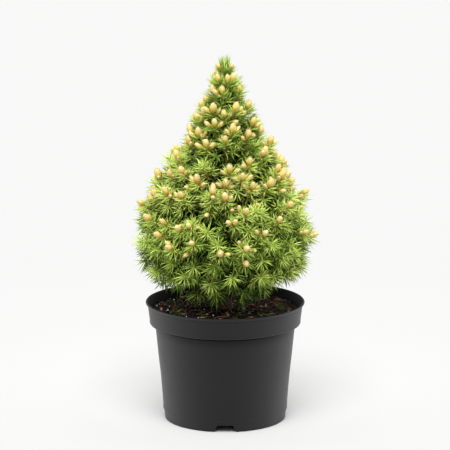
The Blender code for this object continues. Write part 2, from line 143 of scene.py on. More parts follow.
BOUGHED_TIERS = 3
BOUGH_REACH = (0.022, 0.034, 0.032)
BOUGH_RADII = ((0.0021, 0.0014), (0.0026, 0.0017), (0.0024, 0.0015))
BOUGH_STEPS = 22
BOUGH_SAG = 0.0012
BOUGH_LOWEST = 0.004
BOUGH_SINK = 0.0006
TRUNK_STEPS = 150
TRUNK_CROWDING = 1.25  # steps are closer together at the foot
TRUNK_SINK = 0.0006
FLAKES = 420.0
FLAKE_STRETCH = 0.5

# ---- shoots

# Heights at which sprays stand out from the crown's outline, and how strongly, on each side.
OUTSTANDING_RIGHT = ((0.174, 0.7), (0.203, 0.55), (0.242, 1.0), (0.270, 1.0), (0.297, 1.0))
OUTSTANDING_LEFT = ((0.173, 0.9), (0.203, 1.0), (0.233, 1.0), (0.256, 1.0), (0.286, 1.0))
OUTSTANDING_REACH = (
    (0.140, 0.012), (0.160, 0.020), (0.172, 0.012), (0.195, 0.011),
    (0.215, 0.013), (0.290, 0.013), (0.320, 0.006), (0.345, 0.0),
)
OUTSTANDING_HALF = 0.0068
OUTSTANDING_MEAN = 0.36
TIP_STRAY = ((0.20, 0.0060), (0.24, 0.0078), (0.29, 0.0078), (0.34, 0.0035))

STOUT_TWIG = 0.0010  # twigs thicker than this have more sides
BARKED_TWIG = 0.0009  # and from this on, older bark along a share of their length
OLDER_SHARE = 0.55
GREEN_STEPS = 3

SHOOT_STEPS = 14
SHOOT_BOW = 0.34
SHOOT_ROOT = 0.002  # how far inside a bough's end
FLATTER = 8  # degrees by which a shoot's line from the trunk is less steep than its tip
FALL_SHARE = 0.9  # how much of that line's fall its twig makes
LOWEST_ROOT = 0.020
HIGHEST_ROOT = 0.003
LEADER_ROOT = 0.004
LEADER_END = 0.3818
LEADER_BUD = (0.0048, -0.001, 0.3790)

SKIRT_LOW = 0.1440
SKIRT_BARE = 0.5  # share of shoots left out below that height
SKIRT_OPEN = 0.7  # and above it, at most, to the left and the right
SIDE_BACKS = (0.0105, 0.0160, 0.0215)
SIDE_REACHES = (0.0095, 0.0125, 0.0150)
SIDE_BUDS = ((0.20, 0.10), (0.27, 0.22))  # chances by height
# Painted shade: side shoots take greens this much darker than their main shoot, by height.
SIDE_SHADE = ((0.15, 1.8), (0.19, 1.2), (0.23, 1.0), (0.27, 0.5))
SLIGHT = ((0.25, 1.0), (0.36, 0.98))  # needles are shorter high up
INNER_SPRIGS = (1, 4, 4, 4, 4, 1, 1, 0)
INNER_BACK = 0.022
INNER_PITCH = 0.0070
LONG_SHOOT = 0.045
INSIDE_SPRIGS = (0, 5, 10, 10, 8, 4, 0, 0)
# Greens of the sprigs deep inside: painted shade, partly older needles.
INSIDE_TONES = (0.3, 2.2)
SEAM_SHOOTS = (0, 1, 2, 2, 1, 1, 0, 0)
FORKED = ((0.220, 0.15), (0.240, 0.45), (0.262, 0.85), (0.320, 0.85), (0.345, 0.35), (0.370, 0.20))

# ---- needles and buds

GOLDEN_TURN = 2.39996
NEEDLE = 0.0143
NEEDLE_WIDTH = 0.00060
NEEDLE_LENGTHS = (0.84, 1.10)
NEEDLE_WIDTHS = (0.85, 1.15)
NEEDLE_RINGS = ((0.0, 0.70), (0.58, 1.0))  # (place along it, width) of its rings, flattened triangles
NEEDLE_SIDES = 3
NEEDLED_LENGTH = 0.030
NEEDLED_SHARE = 0.92
NEEDLE_PITCH = 0.00120
PITCH_STRAY = 0.0003
TURN_STRAY = 0.28
TIP_NEEDLES = 24
TIP_SPAN = 0.0048
TIP_CROWDING = 0.9
BRUSH_SPAN = 0.0120
BRUSH_LIFT = 0.42
BRUSH_WIDTH = 1.1
# How needles lean from their twig in degrees: at its tip, how much more behind it, by what power, stray.
PLAIN_LEAN = (22, 54, 0.5, 11)
BUDDED_LEAN = (46, 28, 1.0, 10)
BRUSH_LEAN = (6, 36, 0.6, 6)  # least, more at random, by what power, more behind the tip
LESS_LEAN = 6  # in the rows behind the tip
SPREADS = ((0.25, 1.0), (0.34, 0.80), (0.38, 0.64))  # needles lie closer to their twig high up
DROOP = ((0.18, -0.14), (0.27, 0.02), (0.35, 0.05))  # needles low in the crown hang a little
FORWARD_BEND = 0.24
SIDE_BEND = 0.11
SAG = 0.20
PARTED = 0.85  # share of needles left off a twig's outer side
PARTING = 0.40

# Greens are numbered from 0, the darkest: dark for older needles and for painted shade deep in the crown,
# light for new growth. By height: a shoot's own, and its fall along the twig, which is partly older
# needles and partly painted shade.
OUTER_TONES = (
    (0.14, 3.8), (0.17, 4.85), (0.22, 5.0), (0.26, 5.8),
    (0.285, 5.7), (0.315, 4.2), (0.37, 4.2), (0.382, 4.0),
)
TONE_FALL = ((0.16, 2.9), (0.20, 2.2), (0.23, 1.9), (0.27, 1.2), (0.33, 2.1))
TONE_STRAY = 1.6
SHOOT_STRAY = 0.6
# Painted shade: the skirt under the crown takes darker greens, its lowest shoots the darkest.
SKIRT_TONE = -0.4
SKIRT_LOW_TONE = -2.2

BUD_LENGTH = 0.0118
BUD_RADIUS = 0.0032
BUD_SIZES = ((0.20, 0.94), (0.26, 1.0), (0.33, 1.0), (0.37, 0.86))
BUD_SIDES = 12
# Outlines of a bud as (height, radius): two blunt ones, a slim one, and one that is opening.
BUD_OUTLINES = (
    ((-0.10, 0.16), (0.00, 0.36), (0.12, 0.58), (0.28, 0.80), (0.46, 0.95),
     (0.63, 1.0), (0.80, 0.88), (0.93, 0.58), (0.99, 0.25)),
    ((-0.10, 0.16), (0.00, 0.40), (0.12, 0.66), (0.26, 0.88), (0.42, 1.0),
     (0.60, 0.98), (0.77, 0.80), (0.90, 0.50), (0.98, 0.20)),
    ((-0.10, 0.14), (0.00, 0.30), (0.14, 0.50), (0.32, 0.72), (0.52, 0.86),
     (0.68, 0.84), (0.82, 0.66), (0.93, 0.40), (0.99, 0.16)),
    ((-0.10, 0.16), (0.00, 0.34), (0.12, 0.58), (0.28, 0.84), (0.46, 1.0),
     (0.62, 1.0), (0.76, 0.84), (0.86, 0.58), (0.92, 0.28)),
)
BUD_FLARES = (0.15, 0.18, 0.12, 0.32)
BUD_OPEN = 3  # the number of the one that is opening
BUD_RING_TONES = (0, 0, 1, 1, 2, 3, 3, 4)
TIP_TONE = 4
BUD_SCALES = 46
SCALE_TONES = ((0.0, 0.6), (0.15, 1.7), (0.35, 2.9), (0.7, 3.7), (1.0, 4.0))


def between(points, at):
    """The value at a place on a line through (place, value) points, level past its ends."""
    if at <= points[0][0]:
        return points[0][1]
    for (low, first), (high, second) in zip(points, points[1:]):
        if at <= high:
            return first + (second - first) * (at - low) / (high - low)
    return points[-1][1]


def around(angle, radius, height):
    return np.array((radius * math.cos(angle), radius * math.sin(angle), height))


def unit(vector):
    return vector / np.linalg.norm(vector)


def unit_rows(rows):
    return rows / np.linalg.norm(rows, axis=-1, keepdims=True)


def crown_radius(height):
    return between(CROWN, height)


def floor_edge(tier):
    return TIERS[tier][3] if tier < len(TIERS) else CROWN_TOP[0]


def floor_height(tier, radius):
    """The height of a tier's floor at a distance from the Z axis."""
    edge, slope = TIERS[tier][3:] if tier < len(TIERS) else CROWN_TOP
    return edge + slope * (radius - crown_radius(edge))


def trunk_share(height):
    return (height - TRUNK_FOOT) / (TRUNK_TIP - TRUNK_FOOT)


def trunk_centre(height):
    sway = TRUNK_BEND * math.sin(math.tau * trunk_share(height))
    return np.array((sway, 0.5 * sway, height))


def trunk_radius(height):
    taper = TRUNK_FOOT_RADIUS + (TRUNK_TIP_RADIUS - TRUNK_FOOT_RADIUS) * trunk_share(height)
    return taper + FLARE * math.exp(-(height - TRUNK_FOOT) / FLARE_HEIGHT)


# ---- materials

# What surfaces of a kind share: roughness, lumps in a metre, bump, the bump's depth, and gloss.
CHIP = (0.85, 700, 0.8, 0.0004, 0.12)
FIBRE = (0.80, 900, 0.4, 0.0003, 0.20)
LEAF = (0.48, 1400, 0.25, 0.0002)  # their gloss goes by their green: duller for the darker ones, which are partly painted shade
BUD = (0.55, 1800, 0.3, 0.0002, 0.30)
# By name: colour, then the same five.
SURFACES = {
    "pot_plastic": ((0.0024, 0.0024, 0.0027), 0.36, 900, 0.10, 0.0002, 0.35),
    # Painted shade: darker, duller plastic for the pot's faces in shade, and for its lip's crest, where it
    # dulls the highlight.
    "pot_inside": ((0.0015, 0.0015, 0.0016), 0.60, 900, 0.10, 0.0002, 0.05),
    "potting_mix": ((0.005, 0.003, 0.002), 0.95, 330, 1.0, 0.0014, 0.06),
    "chip_dark": ((0.006, 0.004, 0.003), *CHIP),
    "chip_brown": ((0.026, 0.012, 0.006), *CHIP),
    "chip_red": ((0.120, 0.050, 0.024), *CHIP),
    "chip_tan": ((0.300, 0.165, 0.090), *CHIP),
    "perlite": ((0.72, 0.70, 0.64), 0.80, 1500, 0.6, 0.0003, 0.30),
    "fibre_brown": ((0.080, 0.042, 0.020), *FIBRE),
    "fibre_tan": ((0.240, 0.150, 0.075), *FIBRE),
    "moss": ((0.060, 0.110, 0.012), *FIBRE),
    "old_bark": ((0.12, 0.07, 0.04), 0.85, 420, 0.9, 0.0008, 0.20),
    "twig_young": ((0.34, 0.165, 0.052), 0.60, 900, 0.3, 0.0003, 0.30),
    "twig_older": ((0.22, 0.100, 0.040), 0.70, 900, 0.5, 0.0003, 0.30),
    "twig_tip": ((0.30, 0.36, 0.055), 0.50, 900, 0.3, 0.0003, 0.30),
    "needle_green_1": ((0.005, 0.012, 0.0016), *LEAF, 0.05),
    "needle_green_2": ((0.020, 0.040, 0.004), *LEAF, 0.12),
    "needle_green_3": ((0.067, 0.119, 0.010), *LEAF, 0.25),
    "needle_green_4": ((0.155, 0.248, 0.022), *LEAF, 0.35),
    "needle_green_5": ((0.270, 0.392, 0.044), *LEAF, 0.35),
    "needle_green_6": ((0.388, 0.512, 0.076), *LEAF, 0.35),
    "needle_green_7": ((0.515, 0.612, 0.138), *LEAF, 0.35),
    "bud_scale": ((0.330, 0.135, 0.019), *BUD),
    "bud_base": ((0.450, 0.255, 0.035), *BUD),
    "bud_flank": ((0.570, 0.400, 0.078), *BUD),
    "bud_face": ((0.620, 0.482, 0.166), *BUD),
    "bud_tip": ((0.645, 0.528, 0.262), *BUD),
    "studio_floor": ((0.375, 0.375, 0.373), 1.0, 30, 0.02, 0.0005, 0.0),
}
# The dark and the light shade of surfaces whose colour follows their grain, and where each begins.
SHADES = {
    "potting_mix": ((0.0008, 0.0005, 0.0004), (0.010, 0.006, 0.0035)),
    "old_bark": ((0.030, 0.016, 0.009), (0.120, 0.070, 0.040)),
}
SHADE_PLACES = (0.36, 0.64)
TWIG_OLDER = 1
TWIG_TIP = 2
GREENS = 7
# Painted shade under the band: the wall's gloss is cut just below the band's foot and comes back over this
# far.

BAND_SHADE_GLOSS = 0.60  # the share of gloss left right under the band


def set_inputs(tree, node, inputs):
    """Sets a node's inputs by name, each to a plain value or fed from another node's output."""
    for name, value in inputs.items():
        if isinstance(value, bpy.types.NodeSocket):
            tree.links.new(value, node.inputs[name])
        else:
            node.inputs[name].default_value = value


def add_node(tree, kind, inputs=None, **settings):
    """A node with its own settings and its inputs."""
    node = tree.nodes.new("ShaderNode" + kind)
    for name, value in settings.items():
        setattr(node, name, value)
    set_inputs(tree, node, inputs or {})
    return node


def add_range(tree, value, taken, given, **settings):
    """A value taken from one range and given in another."""
    ends = {"From Min": taken[0], "From Max": taken[1], "To Min": given[0], "To Max": given[1]}
    return add_node(tree, "MapRange", {"Value": value, **ends}, **settings).outputs["Result"]


def add_math(tree, operation, first, second):
    """The result of an operation on two values."""
    return add_node(tree, "Math", {0: first, 1: second}, operation=operation).outputs["Value"]


def surface(name):
    """A Principled material with a noise grain in its bump, and in its colour where it has shades."""
    colour, roughness, lumps, bump, depth, gloss = SURFACES[name]
    material = bpy.data.materials.new(name)
    material.use_nodes = True
    tree = material.node_tree
    shader = tree.nodes["Principled BSDF"]
    place = add_node(tree, "TexCoord").outputs["Object"]
    grain = {"Scale": lumps, "Detail": 6.0, "Roughness": 0.6, "Vector": place}
    height = add_node(tree, "TexNoise", grain).outputs["Fac"]
    relief = add_node(tree, "Bump", {"Strength": bump, "Distance": depth, "Height": height})
    looks = {"Base Color": (*colour, 1.0), "Roughness": roughness, "Specular IOR Level": gloss}
    set_inputs(tree, shader, {**looks, "Normal": relief.outputs["Normal"]})
    if name in SHADES:
        ramp = add_node(tree, "ValToRGB", {"Fac": height})
        for element, start, shade in zip(ramp.color_ramp.elements, SHADE_PLACES, SHADES[name]):
            element.position = start
            element.color = (*shade, 1.0)
        tree.links.new(ramp.outputs["Color"], shader.inputs["Base Color"])
    return material


def surfaces(kind):
    """The materials of one kind, in their order."""
    return [surface(name) for name in SURFACES if name.startswith(kind)]


def pot_plastic():
    """Moulded black plastic: a faint satin grain, and painted shade just under the band: less gloss where
    the band's overhang shades the wall.
    """
    material = surface("pot_plastic")
    tree = material.node_tree
    place = tree.nodes["Texture Coordinate"].outputs["Object"]
    scuffs = add_node(tree, "TexNoise", {"Scale": 55.0, "Detail": 8.0, "Vector": place}).outputs["Fac"]
    roughness = add_range(tree, scuffs, (0.0, 1.0), (0.42, 0.52))
    facing = add_node(tree, "LayerWeight").outputs["Facing"]
    gloss = add_range(tree, facing, (0.0, 0.50), (0.28, 0.60))
    # painted shade: gloss cut just under the band
    height = add_node(tree, "SeparateXYZ", {"Vector": place}).outputs["Z"]
    shade = (BAND_FOOT, BAND_FOOT - BAND_SHADE)
    below = add_range(tree, height, shade, (BAND_SHADE_GLOSS, 1.0), interpolation_type="SMOOTHSTEP")
    above = add_math(tree, "GREATER_THAN", height, BAND_FOOT)
    share = add_math(tree, "MAXIMUM", above, below)
    shine = add_math(tree, "MULTIPLY", gloss, share)
    set_inputs(tree, tree.nodes["Principled BSDF"], {"Roughness": roughness, "Specular IOR Level": shine})
    return material


# ---- meshes


def add_object(name, data):
    """A new object in the scene."""
    made = bpy.data.objects.new(name, data)
    bpy.context.scene.collection.objects.link(made)
    return made


def add_shape(name, bm):
    """A new object in the scene, with a BMesh's shape."""
    mesh = bpy.data.meshes.new(name)
    bm.to_mesh(mesh)
    bm.free()
    return add_object(name, mesh)


class Batch:
    """Meshes of one kind gathered into one piece, their polygons sorted by number of corners."""

    def __init__(self):
        self.points = []
        self.polygons = {3: [], 4: [], 6: []}
        self.tones = {3: [], 4: [], 6: []}
        self.count = 0

    def add(self, points, polygons, tones):
        """Polygons are arrays of corners, one for each number of corners, and each has its tones."""
        for rows, tone in zip(polygons, tones):
            size = rows.shape[1]
            self.polygons[size].append(rows + self.count)
            self.tones[size].append(np.broadcast_to(tone, len(rows)))
        self.points.append(points)
        self.count += len(points)

    def make(self, name, materials, smooth=True):
        """The piece, which rides on the one body. Its tones are the numbers of its materials."""
        polygons = sum(self.polygons.values(), [])
        tones = np.concatenate(sum(self.tones.values(), []))
        corners = np.concatenate([rows.ravel() for rows in polygons])
        sizes = np.concatenate([np.full(len(rows), rows.shape[1]) for rows in polygons])
        mesh = bpy.data.meshes.new(name)
        mesh.vertices.add(self.count)
        mesh.vertices.foreach_set("co", np.concatenate(self.points).astype(np.float32).ravel())
        mesh.loops.add(len(corners))
        mesh.loops.foreach_set("vertex_index", corners.astype(np.int32))
        mesh.polygons.add(len(sizes))
        mesh.polygons.foreach_set("loop_start", (np.cumsum(sizes) - sizes).astype(np.int32))
        mesh.polygons.foreach_set("material_index", tones.astype(np.int32))
        mesh.update(calc_edges=True)
        mesh.validate()
        if smooth:
            mesh.shade_smooth()
        for material in materials:
            mesh.materials.append(material)
        piece = add_object(name, mesh)
        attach(piece, BODY)
        return piece


def ring_quads(rings, sides):
    """Corners of the quads between rings of points, which lie one after another."""
    quads = []
    for k in range(sides):
        after = (k + 1) % sides
        for low in range(0, (rings - 1) * sides, sides):
            quads.append((low + k, low + after, low + sides + after, low + sides + k))
    return np.array(quads)


def ring_cap(low, sides):
    """Corners of the triangles from a ring of points to the point after it."""
    return np.array([(low + k, low + (k + 1) % sides, low + sides) for k in range(sides)])


def frames_along(tangents):
    """Two unit vectors square to each tangent and to each other."""
    helper = np.where(np.abs(tangents[:, 2:3]) < 0.9, (0.0, 0.0, 1.0), (1.0, 0.0, 0.0))
    side = unit_rows(np.cross(tangents, helper))
    return side, np.cross(side, tangents)


def swung(side, up, turn):
    """A vector square to a way, turned round it."""
    return side[0] * math.cos(turn) + up[0] * math.sin(turn)


def tube(path, radii, sides):
    """Points and polygons of a round tube along a path, closed by a point at its end."""
    tangents = unit_rows(np.gradient(path, axis=0))
    side, up = frames_along(tangents)
    turns = np.arange(sides) * math.tau / sides
    ring = side[:, None] * np.cos(turns)[None, :, None] + up[:, None] * np.sin(turns)[None, :, None]
    points = path[:, None] + ring * np.asarray(radii)[:, None, None]
    points = np.concatenate((points.reshape(-1, 3), path[-1:] + tangents[-1:] * radii[-1]))
    return points, (ring_quads(len(path), sides), ring_cap((len(path) - 1) * sides, sides))


def needles(bases, ways, lengths, widths, bends):
    """Points and polygons of many needles: tapered, a little curved, and pointed."""
    side, up = frames_along(ways)
    turns = np.arange(NEEDLE_SIDES) * math.tau / NEEDLE_SIDES + math.pi / 2
    flatness = 0.8
    rings = []
    for along, width in NEEDLE_RINGS:
        centre = bases + (ways * along + bends * along**2) * lengths[:, None]
        for turn in turns:
            offset = side * math.cos(turn) + up * math.sin(turn) * flatness
            rings.append(centre + offset * (widths * width)[:, None])
    rings.append(bases + (ways + bends) * lengths[:, None])
    points = np.stack(rings, axis=1)
    step = np.arange(len(bases))[:, None, None] * points.shape[1]
    quads = ring_quads(len(NEEDLE_RINGS), NEEDLE_SIDES) + step
    caps = ring_cap((len(NEEDLE_RINGS) - 1) * NEEDLE_SIDES, NEEDLE_SIDES) + step
    return points.reshape(-1, 3), (quads.reshape(-1, 4), caps.reshape(-1, 3))


# ---- sprigs


@dataclass
class Sprig:
    """A twig with needles round it: its path from root to tip, and how it is dressed."""

    path: np.ndarray
    radii: tuple
    tone: float
    needled: float
    bud: float = 0.0
    length: float = 1.0
    tip_count: int = TIP_NEEDLES
    slim: float = 1.0
    brush: bool = False

    def direction(self):
        return unit(self.path[-1] - self.path[-2])

    def steps(self):
        return np.linalg.norm(np.diff(self.path, axis=0), axis=1)

    def reach(self):
        return float(self.steps().sum())

    def at(self, back):
        """The place and the way of the twig at each distance back from its tip."""
        from_tip = np.concatenate(([0.0], np.cumsum(self.steps()[::-1])))
        path = self.path[::-1]
        tangents = unit_rows(np.gradient(self.path, axis=0))[::-1]
        place = [np.interp(back, from_tip, path[:, k]) for k in range(3)]
        way = [np.interp(back, from_tip, tangents[:, k]) for k in range(3)]
        return np.stack(place, axis=-1), unit_rows(np.stack(way, axis=-1))


def curve(start, first_way, end, last_way, steps, lift=0.38):
    """A smooth path from one point and way to another."""
    span = np.linalg.norm(end - start)
    first = start + first_way * span * lift
    second = end - last_way * span * lift
    t = np.linspace(0, 1, steps)[:, None]
    s = 1 - t
    return s**3 * start + 3 * s**2 * t * first + 3 * s * t**2 * second + t**3 * end


def parted(bases, outward, back, rng):
    """Which needles to leave off, so that the twig shows along its outer side."""
    flat = bases * (1.0, 1.0, 0.0)
    flat /= np.linalg.norm(flat, axis=1, keepdims=True) + 1e-6
    facing = (outward * (flat * 0.8 + UP * 0.6)).sum(axis=1)
    return (facing > PARTING) & (back > TIP_SPAN) & (rng.random(len(back)) < PARTED)


def leans(sprig, share, rng):
    """How far needles lean from their twig in radians, by how far behind its tip they grow."""
    if sprig.brush:
        least, more, power, behind = BRUSH_LEAN
        return np.radians(least + more * rng.random(len(share)) ** power + behind * share)
    least, more, power, stray = BUDDED_LEAN if sprig.bud else PLAIN_LEAN
    return np.radians(least + more * share**power + rng.uniform(-stray, stray, len(share)))


def dress(sprig, rng, foliage):
    """Sets needles round a twig: a spray at its tip and rows behind it, in a spiral."""
    needled = min(sprig.needled, sprig.reach() * NEEDLED_SHARE)
    tip_span = BRUSH_SPAN if sprig.brush else TIP_SPAN
    tip_back = tip_span * np.sort(rng.random(sprig.tip_count)) ** TIP_CROWDING
    rows = max(int((needled - TIP_SPAN) / NEEDLE_PITCH), 0)
    row_back = TIP_SPAN + (needled - TIP_SPAN) * (np.arange(rows) + 0.5) / max(rows, 1)
    back = np.concatenate((tip_back, row_back + rng.uniform(-PITCH_STRAY, PITCH_STRAY, rows)))
    bases, ways = sprig.at(back)
    side, up = frames_along(ways)
    turn = np.arange(len(back)) * GOLDEN_TURN + rng.uniform(-TURN_STRAY, TURN_STRAY, len(back))
    outward = side * np.cos(turn)[:, None] + up * np.sin(turn)[:, None]
    keep = ~parted(bases, outward, back, rng) | (sprig.brush & (back < BRUSH_SPAN))
    back, bases, ways, side, outward = (kept[keep] for kept in (back, bases, ways, side, outward))
    count = len(back)
    share = np.clip(back / tip_span, 0, 1)
    lean = leans(sprig, share, rng) - np.radians(LESS_LEAN) * (back > TIP_SPAN)
    lean *= 1.0 if sprig.brush else between(SPREADS, sprig.path[-1][2])
    way = outward * np.sin(lean)[:, None] + ways * np.cos(lean)[:, None]
    way[:, 2] += between(DROOP, sprig.path[-1][2])
    fall_off = 1 - 0.22 * np.clip((back - TIP_SPAN) / NEEDLED_LENGTH, 0, 1)
    young = np.where(back < TIP_SPAN, 0.86 + 0.16 * share, 1.0)
    lengths = NEEDLE * sprig.length * fall_off * young * rng.uniform(*NEEDLE_LENGTHS, count)
    widths = NEEDLE_WIDTH * (BRUSH_WIDTH if sprig.brush else 1.0) * rng.uniform(*NEEDLE_WIDTHS, count)
    bends = ways * rng.uniform(0.0, FORWARD_BEND, count)[:, None]
    bends = bends + side * rng.uniform(-SIDE_BEND, SIDE_BEND, count)[:, None]
    bends[:, 2] -= rng.uniform(0.0, SAG, count)
    if sprig.brush:
        bends = bends + ways * BRUSH_LIFT
    # Painted shade, partly older needles: needles further back from the tip take darker greens.
    fall = between(TONE_FALL, sprig.path[-1][2]) * np.clip((back - 0.004) / 0.018, 0, 1.3)
    tone = sprig.tone - fall
    tone += rng.uniform(-TONE_STRAY, TONE_STRAY, count)
    tones = np.repeat(np.clip(np.rint(tone), 0, GREENS - 1).astype(int), NEEDLE_SIDES)
    foliage.add(*needles(bases, unit_rows(way), lengths, widths, bends), (tones, tones))


def grow_twig(sprig, twigs):
    """A twig: older bark at its root, where it is stout, and green at its end, where it has no bud."""
    thick = sprig.radii[0]
    sides = 5 if thick > STOUT_TWIG else 3
    count = len(sprig.path)
    points, polygons = tube(sprig.path, np.linspace(*sprig.radii, count), sides)
    steps = np.arange(count - 1)
    bark = np.where((steps < OLDER_SHARE * count) & (thick >= BARKED_TWIG), TWIG_OLDER, 0)
    if not sprig.bud:
        bark[steps >= count - GREEN_STEPS] = TWIG_TIP
    twigs.add(points, polygons, (np.tile(bark, sides), 0 if sprig.bud else TWIG_TIP))


# ---- buds


def bud_scale(bud, number, rng):
    """One of a bud's scales, a kite with its middle raised, and how far up the bud it is."""
    outline = BUD_OUTLINES[bud]
    share = (number + 0.5) / BUD_SCALES
    height = 0.04 + 0.88 * share
    radius = between(outline, height)
    turn = number * GOLDEN_TURN + rng.uniform(-0.1, 0.1)
    wide = 0.28 * (1 - 0.50 * share) / max(radius, 0.3)
    long = 0.21 - 0.05 * share
    inner = max(radius - 0.02, 0.02)
    top = height + long * (1.0 + 0.5 * share if bud == BUD_OPEN else 1.0)
    flare = BUD_FLARES[bud] * (0.4 + 0.9 * share) * rng.uniform(0.5, 1.3)
    corners = (
        around(turn, inner, height - 0.05),
        around(turn + wide, inner + 0.01, height + 0.4 * long),
        around(turn, between(outline, min(top, 0.97)) + flare, top + rng.uniform(-0.03, 0.04)),
        around(turn - wide, inner + 0.01, height + 0.4 * long),
        around(turn, radius + rng.uniform(0.08, 0.17), height + 0.45 * long),
    )
    return np.array(corners), share


def bud_shape(number, rng):
    """One bud along +Z from 0 to 1, 1 wide: a club closely set with the points of young needles."""
    outline = BUD_OUTLINES[number]
    turns = np.arange(BUD_SIDES) * math.tau / BUD_SIDES
    parts = []
    for row, (height, radius) in enumerate(outline):
        twist = turns + row * math.pi / BUD_SIDES
        ripple = radius * (1 + 0.05 * np.sin(2 * twist + number))
        ring = (ripple * np.cos(twist), ripple * np.sin(twist), np.full(BUD_SIDES, height))
        parts.append(np.stack(ring, axis=1))
    parts.append(np.array(((0.0, 0.0, outline[-1][0] + 0.02),)))
    quads = ring_quads(len(outline), BUD_SIDES)
    faces = [quads[:, (0, 1, 3)], quads[:, (1, 2, 3)], ring_cap((len(outline) - 1) * BUD_SIDES, BUD_SIDES)]
    tones = [*BUD_RING_TONES * BUD_SIDES * 2, *(TIP_TONE,) * BUD_SIDES]
    kite = np.array(((0, 1, 4), (1, 2, 4), (2, 3, 4), (3, 0, 4)))
    for scale in range(BUD_SCALES):
        corners, share = bud_scale(number, scale, rng)
        faces.append(kite + sum(len(part) for part in parts))
        parts.append(corners)
        tones += [round(between(SCALE_TONES, share) + rng.uniform(-0.9, 0.6)) for _ in kite]
    return np.concatenate(parts), np.concatenate(faces), np.clip(tones, 0, TIP_TONE)


def add_bud(batch, shape, sprig, rng):
    """Sets a bud at the end of a twig."""
    points, caps, tones = shape
    slim = sprig.slim * rng.uniform(0.92, 1.10)
    way = sprig.direction()
    across = swung(*frames_along(way[None]), rng.uniform(0, math.tau))
    radius = BUD_RADIUS * sprig.bud * slim
    x, y, z = (points[:, k : k + 1] for k in range(3))
    bow = 0.10 * np.sin(z * 2.2)
    placed = sprig.path[-1] + (x + bow) * across * radius
    placed = placed + y * np.cross(way, across) * radius + z * way * (BUD_LENGTH * sprig.bud)
    batch.add(placed, (caps,), (tones,))


# ---- the crown

MainShoot = namedtuple("MainShoot", "tip direction has_bud")


class Cell:
    """The space of one mass of foliage: one sector of one tier."""

    def __init__(self, tier, index):
        name, count, first_turn = TIERS[tier][:3]
        self.tier = tier
        self.index = index
        self.name = f"{name}_mass_{index + 1}" if count > 1 else f"{name}_mass"
        self.bough_name = f"{name}_bough_{index + 1}"
        self.turn = math.radians(first_turn) + math.tau * index / count
        self.half = math.pi / count
        self.low = floor_edge(tier)
        self.high = floor_edge(tier + 1)
        self.rule = random.Random(100 * tier + index)
        self.rng = np.random.default_rng(1000 + 100 * tier + index)


def pointed(facing, rise):
    """A direction by its turn round Z and its rise, both in radians."""
    return around(facing, math.cos(rise), math.sin(rise))


def shoots_of(cell):
    """The main shoots of a mass, in rows that follow the crown's outline."""
    if cell.tier == LEADER:
        return leader_shoots()
    for _ in range(HEART_DRAWS):
        cell.rule.random()
    shoots = []
    for row, share in enumerate(STEEP_ROWS if cell.tier >= FIRST_STEEP_TIER else ROWS):
        columns = SKIRT_UPPER_COLUMNS if row and cell.tier == 0 else COLUMNS
        for column in range(columns):
            across = ((2 * column + 1) / columns - 1) * SPREAD + (ROW_SHIFT if row else -ROW_SHIFT)
            across += cell.rule.uniform(-0.04, 0.04)
            height = cell.low + (cell.high - cell.low) * (share + cell.rule.uniform(-0.05, 0.05))
            angle = cell.turn + across * cell.half
            inset = TIP_INSET + cell.rule.uniform(-0.001, 0.003)
            rise = math.radians(between(RISE, height) + cell.rule.uniform(-8, 8))
            facing = angle + cell.rule.uniform(-0.15, 0.15)
            rise += math.radians(between(LIFT, height))
            has_bud = cell.rule.random() < between(BUDS, height)
            tip = strayed(cell, angle, inset, height)
            shoots.append(MainShoot(tip, pointed(facing, rise), has_bud))
    return shoots + shoots_between(cell)


def stand_out(angle, height):
    """How far sprays stand out from the crown's outline, or stay short of it, at a height."""
    swell = 0.0
    rightness = (1 + math.cos(angle)) / 2
    for share, peaks in ((rightness, OUTSTANDING_RIGHT), (1 - rightness, OUTSTANDING_LEFT)):
        swells = [size * math.exp(-(((height - level) / OUTSTANDING_HALF) ** 2)) for level, size in peaks]
        swell += share * max(swells)
    return between(OUTSTANDING_REACH, height) * (swell - OUTSTANDING_MEAN)


def strayed(cell, angle, inset, height):
    """A tip a little off its place, so that shoots don't stand in rows."""
    stray = between(TIP_STRAY, height)
    height += cell.rng.uniform(-1, 1) * stray
    radius = crown_radius(height) + stand_out(angle, height) - inset
    angle += cell.rng.uniform(-1, 1) * stray / max(radius, 0.01)
    return around(angle, radius, height)


def shoots_between(cell):
    """Shoots that fill the seams between masses, a little further in than the rest."""
    shoots = []
    rng = cell.rng
    for _ in range(SEAM_SHOOTS[cell.tier]):
        height = cell.low + (cell.high - cell.low) * rng.uniform(0.3, 1.1)
        angle = cell.turn + cell.half * (1.0 + rng.uniform(-0.12, 0.12))
        rise = math.radians(between(RISE, height) + between(LIFT, height) + rng.uniform(-12, 12))
        has_bud = rng.random() < 0.9 * between(BUDS, height)
        inset = TIP_INSET + rng.uniform(0.001, 0.006)
        radius = crown_radius(height) + stand_out(angle, height) - inset
        shoots.append(MainShoot(around(angle, radius, height), pointed(angle, rise), has_bud))
    return shoots


def leader_shoots():
    """The leader's whorl of needles, with a bud on each side of it."""
    shoots = [MainShoot(UP * LEADER_END, UP, False)]
    for side in (-1, 1):
        way = unit(np.array((0.45 * side, -0.1, 1.0)))
        shoots.append(MainShoot(np.array(LEADER_BUD) * (side, 1, 1), way, True))
    return shoots


def bough_line(cell):
    """The ends of a bough: one clear of the trunk, the other where its mass begins."""
    reach = BOUGH_REACH[cell.tier]
    height = (floor_height(cell.tier, reach) + floor_height(cell.tier + 1, reach)) / 2
    end = around(cell.turn, reach, height)
    slope = math.tan(math.radians(between(RISE, height)) + 0.25)
    start_height = max(height - slope * reach, TRUNK_FOOT + BOUGH_LOWEST)
    return around(cell.turn, trunk_radius(start_height) - BOUGH_SINK, start_height), end


